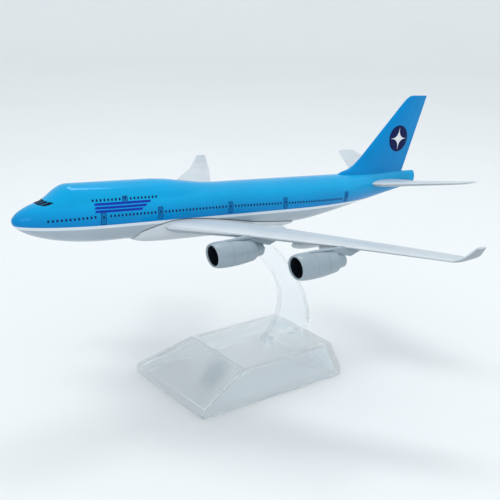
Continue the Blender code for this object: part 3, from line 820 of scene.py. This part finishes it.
class AIRLINER_OT_arm(bpy.types.Operator):
    """Clear curved arm: a rounded oblong section carried from the foot up to the tang"""
    bl_idname = "airliner.arm"
    bl_label = "Clear arm"

    def execute(self, context):
        s = chosen("airliner_stand")
        # Rows: x and z on the front edge, then on the rear edge
        stem = through([(6.6, 10.7, 26.4, 10.7), (10.8, 14.6, 26.9, 14.5), (13.2, 20.0, 25.6, 21.0),
                        (13.6, 26.0, 23.4, 26.3), (11.4, 33.0, 18.9, 34.1), (6.0, 40.0, 13.9, 40.6),
                        (-1.2, 46.2, 7.2, 46.9), (-8.13, 52.12, 2.23, 51.24)], 9)
        rows = np.concatenate([stem, [(-6.54, 51.98, 1.43, 51.30), (-6.54, 51.98, 1.43, 51.30),
                                      (-5.996, 58.36, 1.975, 57.68)]])
        front, rear = rows[:, :2], rows[:, 2:]
        span = np.linalg.norm(rear - front, axis=1)
        along = (rear - front) / span[:, None]
        ring_x, ring_y = rounded_ring(span / 2.0, np.full(len(span), s.arm_thickness / 2.0), 0.4, 12)
        middle = (front + rear) / 2.0
        grid = xyz(middle[:, :1] + ring_x * along[:, :1], ring_y, middle[:, 1:] + ring_x * along[:, 1:])
        arm = add_piece("stand_arm_plate", [grid], "clear acrylic", "stand_arm", "stand_arm", sharp=40.0)
        half = s.peg_length / 2.0
        pegs = [box_grid((x - half, -1.5, 6.3), (x + half, 1.5, 11.2)) for x in PEG_XS]
        carve(arm, pegs, "UNION", False)
        even_normals(arm)
        return {"FINISHED"}


# ---------------------------------------------------------------- fuselage

class AIRLINER_OT_fuselage(bpy.types.Operator):
    """Fuselage skin: two lobes carried along a line that rises to the tail, seated on the belly"""
    bl_idname = "airliner.fuselage"
    bl_label = "Fuselage"

    def execute(self, context):
        seat_from, seat_to = BELLY[0, 0] - SEAM_GAP, BELLY[-1, 0] + SEAM_GAP
        nose = 12.0 * np.linspace(0.0, 1.0, 40) ** 2
        x = np.unique(np.concatenate([nose, np.linspace(12.4, LENGTH - 0.5, 250),
                                      [seat_from - 0.01, seat_from, seat_to, seat_to + 0.01]]))
        shrink = np.ones(len(x))
        end = np.array([(-0.2, 0.97), (0.0, 0.86), (0.0, 0.66), (-0.08, 0.6), (-1.6, 0.5), (-1.6, 0.02)])
        x, shrink = np.concatenate([x, LENGTH + end[:, 0]]), np.concatenate([shrink, end[:, 1]])
        width, height, middle = lobes(x)[:3]
        seated = (x >= seat_from) & (x <= seat_to)
        floor = np.where(seated, read(BELLY, 1, x) + SEAM_GAP, middle - 0.7 * height)
        share = np.sqrt(np.clip(1.0 - ((floor - middle) / np.maximum(height, 1e-6)) ** 2, 0.0, 1.0))
        turn = np.arctan2(width * share, floor - middle)
        upper = skin(x[:, None], turn[:, None] * np.linspace(-1.0, 1.0, 97)[None])
        below = np.linspace(0.0, 1.0, 33)[None, 1:-1]
        lower = skin(x[:, None], turn[:, None] + (2.0 * math.pi - 2.0 * turn)[:, None] * below)
        lower[..., 2] = np.where(seated[:, None], floor[:, None], lower[..., 2])
        straight = upper[:, -1:, 1] * np.linspace(1.0, -1.0, 33)[None, 1:-1]
        lower[..., 1] = np.where(seated[:, None], straight, lower[..., 1])
        rings = np.concatenate([upper, lower], axis=1)
        centre = xyz(x, 0.0, middle)[:, None]
        rings = centre + (rings - centre) * shrink[:, None, None]
        rings[..., 0] = x[:, None]
        add_piece("fuselage_skin", [rings], "fuselage paint", "fuselage_casting", sharp=40.0)
        return {"FINISHED"}


class AIRLINER_OT_fin(bpy.types.Operator):
    """Fin: aerofoils stacked up its height, swept into a fillet at the foot, with a rudder line"""
    bl_idname = "airliner.fin"
    bl_label = "Fin"

    def execute(self, context):
        rows = softened(FIN, 8, 3)
        z, lead, trail, thickness = rows.T[:, :, None]
        hinge = (0.66,)
        s, over = round_chord(hinge)
        line = groove(s, hinge, CHORD_LINE) * ((z > 11.0) & (z < 34.5))
        off = over * (section(s, thickness) - WING_SUNK * line)
        add_piece("fin_skin", [xyz(lead + s * (trail - lead), off, z)], "fin paint", "fuselage_casting")
        return {"FINISHED"}


class AIRLINER_OT_prints(bpy.types.Operator):
    """Printed marks: cabin windows, doors, flight-deck panes, a triple line and a plain star disc"""
    bl_idname = "airliner.prints"
    bl_label = "Prints"

    def windows(self, s):
        """Middles of the windows on both decks, leaving out those a door takes."""
        main = np.arange(8.6, 118.6, s.window_pitch)
        height = np.interp(main, (8.6, 23.0, 69.0, 118.0), (1.15, 1.95, 2.0, 1.0))
        clear = np.min(np.abs(main[:, None] - DOORS[None, :-1, 0]), axis=1) > 1.45
        upper = np.arange(21.9, 43.6, s.window_pitch)
        upper = upper[np.abs(upper - DOORS[-1, 0]) > 1.3]
        return (np.concatenate([main[clear], upper]),
                np.concatenate([height[clear], np.full(len(upper), 6.3)]))

    def execute(self, context):
        s = chosen("airliner_prints")
        panes = [[(turn, z - PANE_DROP * turn / 30.0)
                  for turn, z in ((a, PANE_LOW), (b, PANE_LOW), (b, PANE_HIGH), (a, PANE_HIGH))]
                 for a, b in PANE_ANGLES]
        x, z, tall = DOORS.T
        blue = "dark blue ink"
        windows = box_corners(*self.windows(s), s.window_width / 2.0, s.window_height / 2.0)
        fills = box_corners(x, z, DOOR_HALF - DOOR_EDGE, tall - DOOR_EDGE)
        lines = box_corners((31.4, 30.6, 29.8), (5.25, 4.3, 3.35), np.array((9.6, 8.8, 8.0)), 0.34, 0.3)
        # Name, corners, surface, ink, how proud, steps, rounding of the corners
        films = (("cabin_windows", windows, on_side, blue, 0.035, 3, 0.6),
                 ("flight_deck_panes", panes, on_nose, "pane ink", 0.05, 9, 0.2),
                 ("door_outlines", box_corners(x, z, DOOR_HALF, tall), on_side, blue, 0.03, 7, 0.25),
                 ("door_fills", fills, on_side, "door ink", 0.045, 7, 0.25),
                 ("door_windows", box_corners(x, z + 0.35, 0.26, 0.34), on_side, blue, 0.06, 5, 0.6),
                 ("title_lines", lines, on_side, "bright blue ink", 0.035, 25, 0.05))
        for word, side in SIDES.items():
            for name, corners, surface, look, proud, steps, round_off in films:
                add_piece(f"{name}_{word}", patches(corners, surface(side), proud, steps, round_off),
                          look, wrap=False)
            self.emblem(s, word, side)
        return {"FINISHED"}

    def emblem(self, s, word, side):
        """A disc and a four-pointed star on the fin: rings of a steady radius, or of a
        radius 1 / (|cos a|^0.5 + |sin a|^0.5)^2 that is pinched at the diagonals."""
        turn = circle(96)
        place = on_fin(side)
        star = 0.85 / (np.abs(np.cos(turn)) ** 0.5 + np.abs(np.sin(turn)) ** 0.5) ** 2
        shares = np.array([0.0, 0.3, 0.6, 0.85, 0.97, 1.0])[:, None]
        for name, shape, proud, look in (("emblem_disc", 1.0 + 0.0 * turn, 0.04, "dark blue ink"),
                                         ("emblem_star", star, 0.07, "white ink")):
            radius = s.emblem_radius * shape[None] * shares
            x, z = EMBLEM_AT[0] + radius * np.sin(turn), EMBLEM_AT[1] + radius * np.cos(turn)
            add_piece(f"{name}_{word}", [place(x, z, np.where(shares < 1.0, proud, EMBLEM_EDGE)),
                                         place(x, z, EMBLEM_EDGE)], look, sharp=50.0)


# ---------------------------------------------------------------- wings

class AIRLINER_OT_wings(bpy.types.Operator):
    """Wings with turned-up tips and grooves for flaps, ailerons and slats, and the flap fairings"""
    bl_idname = "airliner.wings"
    bl_label = "Wings"

    def execute(self, context):
        rows = softened(WING, 14, 8)
        marks = (10.5, 20.0, 24.5, 28.6, 44.0, 57.0, 68.0)
        rows = refined(rows, with_lines(rows[:, 0], marks, SPAN_LINE))
        for word, side in SIDES.items():
            grid = panel(rows, (0.13, 0.72), marks, WING_SUNK, side)
            shade_lower_skin(add_piece(f"wing_{word}", [grid], "wing paint", "wing_casting"))
            fairings = []
            for out, middle, low, reach, broad, deep in FLAP_FAIRINGS:
                t = np.linspace(-1.0, 1.0, 28)[:, None]
                size = np.sqrt(np.clip(1.0 - t ** 2, 0.0, 1.0)) * (1.0 - 0.12 * t)
                a = circle(24)
                fairings.append(xyz(middle + reach * t, side * out + broad * size * np.sin(a),
                                    low + deep * size * np.cos(a) + 0.2 * t))
            add_piece(f"flap_fairings_{word}", fairings, "wing paint")
        return {"FINISHED"}


class AIRLINER_OT_belly(bpy.types.Operator):
    """Belly of the wing casting: squarish half rounds along its length, with socket and screw seats"""
    bl_idname = "airliner.belly"
    bl_label = "Belly"

    def execute(self, context):
        rows = softened(BELLY, 12, 6)
        x, top, bottom = rows.T[:, :, None]
        side = half_width(x, top) + BELLY_PROUD
        a = np.linspace(0.0, math.pi, 61)[None]
        under = xyz(x, side * squarish(np.cos(a), 0.8), top - (top - bottom) * np.sin(a) ** 0.8)
        over = xyz(x, side * np.linspace(-1.0, 1.0, 21)[None, 1:-1], top)
        belly = add_piece("belly_fairing", [np.concatenate([under, over], axis=1)], "wing paint",
                          "wing_casting", sharp=40.0)
        cutters = [box_grid((SOCKET_AT - SOCKET_HALF, -SOCKET_SIDE, CUT_FROM),
                            (SOCKET_AT + SOCKET_HALF, SOCKET_SIDE, SOCKET_TOP))]
        seat = turned([(CUT_FROM, AXIS_RADIUS), (CUT_FROM, SEAT_RADIUS), (SEAT_TOP, SEAT_RADIUS),
                       (SEAT_TOP, AXIS_RADIUS)], 48)[..., [1, 2, 0]]
        cutters += [seat + np.array([at, 0.0, 0.0]) for at in SCREW_XS]
        carve(belly, cutters, "DIFFERENCE", True)
        return {"FINISHED"}


class AIRLINER_OT_tailplanes(bpy.types.Operator):
    """Tailplane halves: aerofoils from root to a rounded tip, with an elevator line"""
    bl_idname = "airliner.tailplanes"
    bl_label = "Tailplanes"

    def execute(self, context):
        rows = softened(TAILPLANE, 12, 4)
        marks = (5.6, 30.2)
        rows = refined(rows, with_lines(rows[:, 0], marks, SPAN_LINE))
        for word, side in SIDES.items():
            grid = panel(rows, (0.02, 0.7), marks, TAIL_SUNK, side)
            shade_lower_skin(add_piece(f"tailplane_skin_{word}", [grid], "wing paint",
                                       f"tailplane_{word}"))
        return {"FINISHED"}


# ---------------------------------------------------------------- engines

class AIRLINER_OT_engines(bpy.types.Operator):
    """Engines: leaning intake cowls with pylons, bladed fans and stepped cores"""
    bl_idname = "airliner.engines"
    bl_label = "Engines"

    def cowl(self, s):
        """Closed profile carried round the axis, its front part leaned by the scarf angle."""
        r, bore, end = s.cowl_radius, s.bore_radius, s.cowl_length
        rows = through([(end, r - 0.92), (end - 0.5, r - 0.78), (end - 3.6, r - 0.38), (8.0, r - 0.1),
                        (4.0, r), (1.8, r - 0.08), (0.7, r - 0.26), (0.15, r - 0.46), (0.0, r - 0.62),
                        (0.12, bore + 0.2), (0.6, bore + 0.03), (1.6, bore), (5.0, bore), (9.0, bore),
                        (end - 0.4, bore - 0.12), (end - 0.06, bore - 0.05), (end, r - 0.92)], 5)
        lip = int(np.argmin(rows[:, 0]))
        outside = rows[lip::-1]
        outside = refined(outside, with_lines(outside[:, 0], COWL_LINES, COWL_LINE))
        outside[:, 1] -= COWL_SUNK * groove(outside[:, 0], COWL_LINES, COWL_LINE)
        rows = np.concatenate([outside[::-1], rows[lip + 1:]])
        return self.leaned(s, turned(rows, 72))

    def leaned(self, s, grid):
        """Slides points forward by their height, less and less over the first 7 mm."""
        lean = math.tan(s.scarf) * (1.0 - ramp(grid[..., 0], 0.0, 7.0))
        return grid - xyz(lean * grid[..., 2], 0.0, 0.0)

    def set_at(self, grids, at):
        """Turns an engine's shapes so the axis rises to the rear, then moves them to the intake."""
        c, r = math.cos(ENGINE_RISE), math.sin(ENGINE_RISE)
        turn = [(c, 0.0, r), (0.0, 1.0, 0.0), (-r, 0.0, c)]
        return [grid @ turn + np.array(at) for grid in grids]

    def pylon(self, s, lip_x, out, lip_z, side):
        """Rows of top and bottom heights along the pylon, each a squarish ring."""
        lead, lead_z, under = read(WING, 1, out), read(WING, 2, out), read(WING, 4, out) + 0.1
        top, last = lip_z + s.cowl_radius, lip_x + 27.0
        tops = np.array([(lip_x + 2.0, top - 0.5), (lip_x + 4.0, top + 0.35), (lip_x + 7.0, top + 0.5),
                         (lead - 3.0, max(lead_z, top + 0.55)), (lead - 0.6, lead_z + 0.35),
                         (lead + 1.6, lead_z + 0.1), (lead + 4.5, lead_z - 0.2), (last, under)])
        lows = np.array([(lip_x + 2.0, top - 0.7), (lip_x + 5.0, top - 1.2), (lip_x + 13.0, lip_z + 3.2),
                         (lip_x + 15.0, lip_z + 2.7), (lip_x + 17.4, lip_z + 2.1),
                         (lip_x + 20.5, lip_z + 1.4), (last, under - 0.3)])
        x = np.linspace(lip_x + 2.0, last, 70)
        high = np.interp(x, tops[:, 0], tops[:, 1])
        low = np.minimum(np.interp(x, lows[:, 0], lows[:, 1]), high - 0.05)
        high = averaged(high, 2)
        t = np.linspace(0.0, 1.0, 70)
        half = 0.66 * np.clip(t / 0.12, 0.15, 1.0) ** 0.5 * np.clip((1.0 - t) / 0.4, 0.1, 1.0)
        a = circle(32)
        z = ((high + low) / 2.0)[:, None] + ((high - low) / 2.0)[:, None] * squarish(np.cos(a), 0.45)
        return xyz(x[:, None], side * out + half[:, None] * squarish(np.sin(a), 0.45), z)

    def blades(self, s):
        """Thin closed blades: each twists more towards its tip and sweeps a little."""
        count = s.blades
        r = np.linspace(0.75, s.bore_radius - 0.32, 7)[:, None]
        c = np.linspace(-1.0, 1.0, 7)[None]
        pitch = np.radians(35.0 + 30.0 * (r - 0.75) / 2.0)
        half_chord = 0.42 + 0.1 * r / 2.0
        thick = 0.07 * (1.0 - c ** 2)
        grids = []
        for face in (1.0, -1.0):
            x = 3.6 + c * half_chord * np.cos(pitch) - face * thick * np.sin(pitch)
            arc = c * half_chord * np.sin(pitch) + face * thick * np.cos(pitch)
            turn = arc / r + np.arange(count)[:, None, None] * 2.0 * math.pi / count
            grids.append(xyz(x[None], r[None] * np.sin(turn), r[None] * np.cos(turn)))
        return grids

    def execute(self, context):
        s = chosen("airliner_engines")
        bore = s.bore_radius
        disc = bore - 0.3
        hub = through([(2.3, AXIS_RADIUS), (2.4, 0.3), (2.9, 0.62), (3.6, 0.85), (4.4, 0.9), (4.5, disc),
                       (5.3, disc), (5.3, AXIS_RADIUS)], 4)
        hub[:, 1] = np.clip(hub[:, 1], AXIS_RADIUS, disc)
        liner = [(0.45, bore + 0.06), (0.8, bore - 0.03), (5.3, bore - 0.03), (5.3, bore + 0.1),
                 (0.8, bore + 0.12), (0.45, bore + 0.06)]
        core = rounded([(5.6, AXIS_RADIUS), (5.6, bore - 0.5), (14.4, bore - 0.5), (15.0, 2.35),
                        (17.6, 1.98), (17.6, 1.8), (16.9, 1.7), (16.9, 1.15), (17.6, 1.0),
                        (s.core_end, 0.35), (s.core_end + 0.1, AXIS_RADIUS)], 0.18)
        for place, (lip_x, out, lip_z) in ENGINES.items():
            for word, side in SIDES.items():
                at = (lip_x, side * out, lip_z)
                label = f"{place}_{word}"
                top = lip_z + s.cowl_radius
                # Painted shadow: a thin dark plate on the cowl's top under the pylon, for the shade in
                # the gap there
                shadow_strip = box_grid((lip_x + 4.6, side * out - 0.7, top - 0.1),
                                (lip_x + 13.2, side * out + 0.7, top + 0.12))
                add_piece(f"cowl_{label}", self.set_at([self.cowl(s)], at), "engine paint",
                          f"engine_cowl_{label}", sharp=40.0)
                add_piece(f"intake_liner_{label}", self.set_at([self.leaned(s, turned(liner, 56))], at),
                          "fan plastic")
                add_piece(f"pylon_{label}", [self.pylon(s, lip_x, out, lip_z, side)], "engine paint",
                          f"engine_cowl_{label}", sharp=50.0)
                add_piece(f"pylon_painted_shadow_{label}", [shadow_strip], "seam shadow")
                add_piece(f"fan_hub_{label}", self.set_at([turned(hub, 40)], at), "fan plastic",
                          f"engine_fan_{label}")
                add_piece(f"fan_blades_{label}", self.set_at(self.blades(s), at), "fan plastic",
                          wrap=False)
                add_piece(f"core_{label}", self.set_at([turned(core, 56)], at), "engine paint",
                          f"engine_core_{label}")
        return {"FINISHED"}


class AIRLINER_OT_screws(bpy.types.Operator):
    """Screws that hold the two castings together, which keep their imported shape"""
    bl_idname = "airliner.screws"
    bl_label = "Screws"

    def execute(self, context):
        for word in ("front", "rear"):
            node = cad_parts[f"belly_screw_{word}"]
            for slot in node.material_slots:
                slot.material = finish("screw steel")
        return {"FINISHED"}


# ---------------------------------------------------------------- stage

class AIRLINER_OT_stage(bpy.types.Operator):
    """Pale floor that sweeps up behind, soft lights and the camera"""
    bl_idname = "airliner.stage"
    bl_label = "Stage"

    def sweep(self):
        """Floor that turns up into a wall far behind: a quarter circle between two straight runs."""
        t = np.linspace(0.0, math.pi / 2.0, 20)
        run = np.concatenate([[-900.0], 900.0 + 500.0 * np.sin(t), [1400.0]])
        rise = np.concatenate([[0.0], 500.0 * (1.0 - np.cos(t)), [1800.0]])
        across = np.linspace(-2200.0, 2200.0, 3)
        turn = math.radians(-36.0)
        x = across[None] * math.cos(turn) - run[:, None] * math.sin(turn)
        y = across[None] * math.sin(turn) + run[:, None] * math.cos(turn)
        return xyz(x, y, rise[:, None] - 0.15)

    def light(self, name, place, aim, size, power, colour):
        """A rectangular soft light turned towards a point."""
        lamp = bpy.data.lights.new(name, "AREA")
        lamp.shape = "RECTANGLE"
        lamp.size, lamp.size_y = size
        lamp.energy = power
        lamp.color = colour
        holder = put(name, lamp)
        holder.location = place
        holder.rotation_euler = (Vector(aim) - Vector(place)).to_track_quat("-Z", "Y").to_euler()

    def execute(self, context):
        mesh = surface_mesh("ground", [self.sweep()], False, False, 40.0, closed=False)
        mesh.materials.append(finish("ground"))
        put("ground", mesh)
        world = bpy.data.worlds.new("pale room")
        context.scene.world = world
        world.use_nodes = True
        backdrop = world.node_tree.nodes["Background"]
        backdrop.inputs["Color"].default_value = (0.91, 0.955, 0.985, 1.0)
        backdrop.inputs["Strength"].default_value = 1.03
        # Name, place, point aimed at, size, watts, colour
        self.light("overhead softbox", (0.12, 0.08, 0.55), (0.0, 0.0, 0.05), (0.26, 0.12), 0.7,
                   (1.0, 1.0, 1.0))
        self.light("left softbox", (-0.5, -0.45, 0.35), (0.0, 0.0, 0.06), (0.35, 0.25), 0.5,
                   (0.97, 0.99, 1.0))
        camera = put("camera", bpy.data.cameras.new("camera"))
        camera.location = (-0.16638, -0.23029, 0.13882)
        camera.rotation_euler = (1.25038, -0.00961, -0.62459)
        camera.data.lens = 63.956
        camera.data.sensor_width = 36.0
        camera.data.clip_start = 0.01
        context.scene.camera = camera
        context.scene.view_settings.view_transform = "Standard"
        return {"FINISHED"}


STEPS = (AIRLINER_OT_base, AIRLINER_OT_arm, AIRLINER_OT_fuselage, AIRLINER_OT_fin, AIRLINER_OT_prints,
         AIRLINER_OT_wings, AIRLINER_OT_belly, AIRLINER_OT_tailplanes, AIRLINER_OT_engines,
         AIRLINER_OT_screws, AIRLINER_OT_stage)


class AIRLINER_PT_pieces(bpy.types.Panel):
    """Lists the pieces and their sizes"""
    bl_idname = "AIRLINER_PT_pieces"
    bl_label = "Desktop airliner"
    bl_space_type = "VIEW_3D"
    bl_region_type = "UI"
    bl_category = "Airliner"

    def draw(self, context):
        for group in GROUPS:
            settings = getattr(context.scene, group)
            box = self.layout.box()
            for key in type(settings).__annotations__:
                box.prop(settings, key)
        for step in STEPS:
            self.layout.operator(step.bl_idname)


CLASSES = (*GROUPS.values(), *STEPS, AIRLINER_PT_pieces)


def register():
    for item in CLASSES:
        bpy.utils.register_class(item)
    for name, group in GROUPS.items():
        setattr(bpy.types.Scene, name, bpy.props.PointerProperty(type=group))


def unregister():
    for name in GROUPS:
        delattr(bpy.types.Scene, name)
    for item in reversed(CLASSES):
        bpy.utils.unregister_class(item)


def main():
    register()
    for step in STEPS:
        area, name = step.bl_idname.split(".")
        if getattr(getattr(bpy.ops, area), name)() != {"FINISHED"}:
            raise RuntimeError(f"{step.bl_label} was not finished")
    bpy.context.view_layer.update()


if __name__ == "__main__":
    main()
